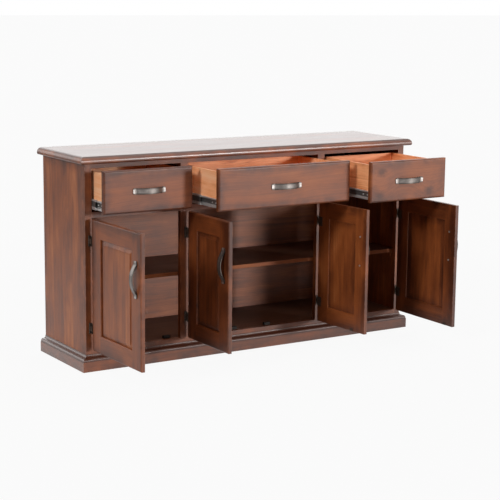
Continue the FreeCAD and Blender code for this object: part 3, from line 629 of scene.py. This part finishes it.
def screw_head(form, x, y, z, side, twist):
    """Add one pan head with crossed slots to a form, facing its own side along x."""

    def corner(radius, angle, rise):
        across, up = radius * math.cos(angle + twist), radius * math.sin(angle + twist)
        return form.verts.new((x + side * rise, y + across, z + up))

    angles = [math.tau * step / SCREW_SIDES for step in range(SCREW_SIDES)]
    middle = corner(0, 0, SCREW_RISE - SLOT_DEPTH)
    rings = []
    for ring in range(1, SCREW_RINGS + 1):
        radius = SCREW_RADIUS * ring / SCREW_RINGS
        rings.append([corner(radius, angle, head_rise(radius, angle)) for angle in angles])
    rings.append([corner(SCREW_RADIUS, angle, 0) for angle in angles])
    for step in range(SCREW_SIDES):
        after = (step + 1) % SCREW_SIDES
        form.faces.new((middle, rings[0][step], rings[0][after]))
        for inner, outer in zip(rings, rings[1:]):
            form.faces.new((inner[step], outer[step], outer[after], inner[after]))
    form.faces.new(rings[-1])


def screw_heads(name, body, places, material):
    """Screws at places (x, y, z), each with the side that it faces, riding on a body."""
    form = bmesh.new()
    for index, (x, y, z, side) in enumerate(places):
        screw_head(form, x, y, z, side, SCREW_TWIST * index)
    bmesh.ops.recalc_face_normals(form, faces=form.faces)
    mesh = bpy.data.meshes.new(name)
    form.to_mesh(mesh)
    form.free()
    mesh.materials.append(material)
    heads = bpy.data.objects.new(name, mesh)
    bpy.context.scene.collection.objects.link(heads)
    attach(heads, body)


def screw_runners():
    """Screws in both runners of each drawer."""
    steel = metal("screw_steel", (0.52, 0.50, 0.48), (0.86, 0.84, 0.82), roughness=0.30, scale=900,
                  metallic=0.85)
    for number in DRAWERS:
        low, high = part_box(f"drawer_{number}_runners")
        webs = ((low[X] + RUNNER_HOLLOW, -1), (high[X] - RUNNER_HOLLOW, 1))
        screw_heads(f"drawer_{number}_runner_screws", f"drawer_{number}",
                    [(web, low[Y] + setback, (low[Z] + high[Z]) / 2, side)
                     for web, side in webs for setback in SCREW_SETBACKS], steel)


def surround():
    """White to the camera and in reflections, where it dims overhead, and nearly dark as a light."""
    world = bpy.data.worlds.new("studio")
    bpy.context.scene.world = world
    world.use_nodes = True
    sky = Tree(world.node_tree)
    path = sky.node("LightPath").outputs
    height = sky.separate(sky.node("TexCoord").outputs["Generated"])[Z]
    mirrored = sky.math("MAXIMUM", path["Is Glossy Ray"], path["Is Transmission Ray"])
    mirrored = sky.math("MULTIPLY", mirrored, sky.band(height, *OVERHEAD_DIM))
    seen = sky.math("MAXIMUM", path["Is Camera Ray"], mirrored)
    background = sky.node("Background", (1.0, 1.0, 1.0, 1.0), sky.math("MAXIMUM", seen, AMBIENT))
    sky.node("OutputWorld", background.outputs[0])


def lay_floor():
    """A pale floor that keeps the shadow, and whose glow in reflections fades with distance."""
    bpy.ops.mesh.primitive_grid_add(x_subdivisions=2, y_subdivisions=2, size=FLOOR_SIZE,
                                    location=(0, 0, -FLOOR_DROP))
    floor = bpy.context.object
    floor.name = "floor"
    pale = bpy.data.materials.new("pale_floor")
    pale.use_nodes = True
    tree = Tree(pale.node_tree)
    path = tree.node("LightPath").outputs
    mirrored = tree.math("MAXIMUM", path["Is Glossy Ray"], path["Is Transmission Ray"])
    share = tree.math("MULTIPLY", tree.math("MAXIMUM", path["Is Camera Ray"], mirrored), FLOOR_GLOW)
    fade = tree.band(tree.measure("DISTANCE", tree.place(), GLOW_MIDDLE), *GLOW_FADE)
    paint = tree.node("BsdfDiffuse", FLOOR_PAINT)
    glow = tree.node("Emission", None, tree.math("MAXIMUM", path["Is Camera Ray"], fade))
    mix = tree.node("MixShader", share, paint.outputs[0], glow.outputs[0])
    tree.node("OutputMaterial", mix.outputs[0])
    floor.data.materials.append(pale)


def hang_suns():
    """Five suns: two from the front, two from behind and a broad one overhead."""
    for name, (towards, strength, spread) in SUNS.items():
        lamp = bpy.data.lights.new(name, "SUN")
        lamp.energy = strength
        lamp.angle = math.radians(spread)
        sun = bpy.data.objects.new(name, lamp)
        sun.location = Vector(towards) * SUN_DISTANCE
        sun.rotation_euler = Vector(towards).to_track_quat("Z", "Y").to_euler()
        bpy.context.scene.collection.objects.link(sun)


def set_camera():
    """The camera, where the photograph was taken from."""
    yaw, pitch, roll = (math.radians(angle) for angle in (CAMERA_YAW, CAMERA_PITCH, CAMERA_ROLL))
    forward = Vector((math.sin(yaw) * math.cos(pitch), math.cos(yaw) * math.cos(pitch), -math.sin(pitch)))
    level = Vector((math.cos(yaw), -math.sin(yaw), 0))
    down = forward.cross(level)
    right = math.cos(roll) * level + math.sin(roll) * down
    lower = math.cos(roll) * down - math.sin(roll) * level
    lens = bpy.data.cameras.new("camera")
    lens.lens = CAMERA_LENS
    lens.sensor_width = CAMERA_SENSOR
    camera = bpy.data.objects.new("camera", lens)
    turn = Matrix((right, -lower, -forward)).transposed().to_4x4()
    camera.matrix_world = Matrix.Translation(CAMERA_PLACE) @ turn
    bpy.context.scene.collection.objects.link(camera)
    bpy.context.scene.camera = camera


coat_carcase()
coat_drawers()
coat_doors()
coat_metalwork()
screw_runners()
surround()
lay_floor()
hang_suns()
set_camera()
bpy.context.scene.view_settings.view_transform = "Standard"
